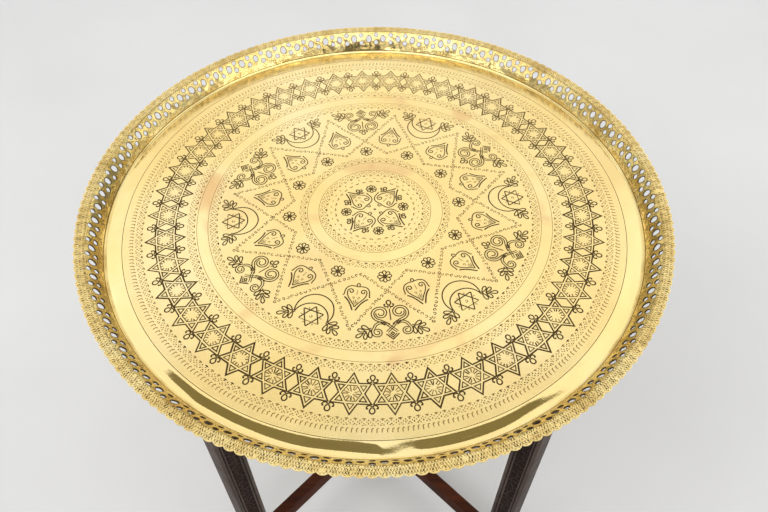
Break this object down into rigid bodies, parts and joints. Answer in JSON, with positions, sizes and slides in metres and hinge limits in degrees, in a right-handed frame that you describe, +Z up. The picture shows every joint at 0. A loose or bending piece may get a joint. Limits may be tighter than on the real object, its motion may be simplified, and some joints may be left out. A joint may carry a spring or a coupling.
{
  "type": "brass tray table",
  "caption": "Round engraved brass tray with a pierced gallery, lifting off a folding X stand of two pivoting wooden frames.",
  "frame": {"origin": "on the ground under the stand's upright pivot axis, at the middle of the base", "axes": "+Z up along the pivot axis through the middle of the tray; +X to the right and -Y towards the viewer, with one pair of legs towards -Y"},
  "size_m": [0.61, 0.61, 0.6092],
  "materials": {
    "tray_brass": "hand-hammered and polished, with dark engraved lines",
    "leg_wood": "near-black stained wood with a satin sheen, carved panels",
    "rail_wood": "dark reddish brown stained wood, satin",
    "peg_wood": "dark stained end grain",
    "pivot_brass": "dull aged brass"
  },
  "bodies": {
    "inner_frame": {"leg_front_left": "leg_wood", "leg_back_right": "leg_wood", "inner_top_rail": "rail_wood", "inner_stretcher": "rail_wood", "inner_frame_pegs": "peg_wood", "top_pivot_bolt": "pivot_brass", "top_spacer_washer": "pivot_brass", "top_nut_washer": "pivot_brass", "top_pivot_nut": "pivot_brass", "bottom_pivot_bolt": "pivot_brass", "bottom_spacer_washer": "pivot_brass", "bottom_nut_washer": "pivot_brass", "bottom_pivot_nut": "pivot_brass"},
    "outer_frame": {"leg_front_right": "leg_wood", "leg_back_left": "leg_wood", "outer_top_rail": "rail_wood", "outer_stretcher": "rail_wood", "outer_frame_pegs": "peg_wood"},
    "tray": {"tray": "tray_brass"}
  },
  "joints": [
    {"name": "fold", "type": "hinge", "parent": "inner_frame", "child": "outer_frame", "pos_m": [0, 0, 0], "axis": [0, 0, 1], "range_deg": [-80, 80]},
    {"name": "tray_lift", "type": "slide", "parent": "inner_frame", "child": "tray", "axis": [0, 0, 1], "range_m": [0, 0.2]}
  ]
}
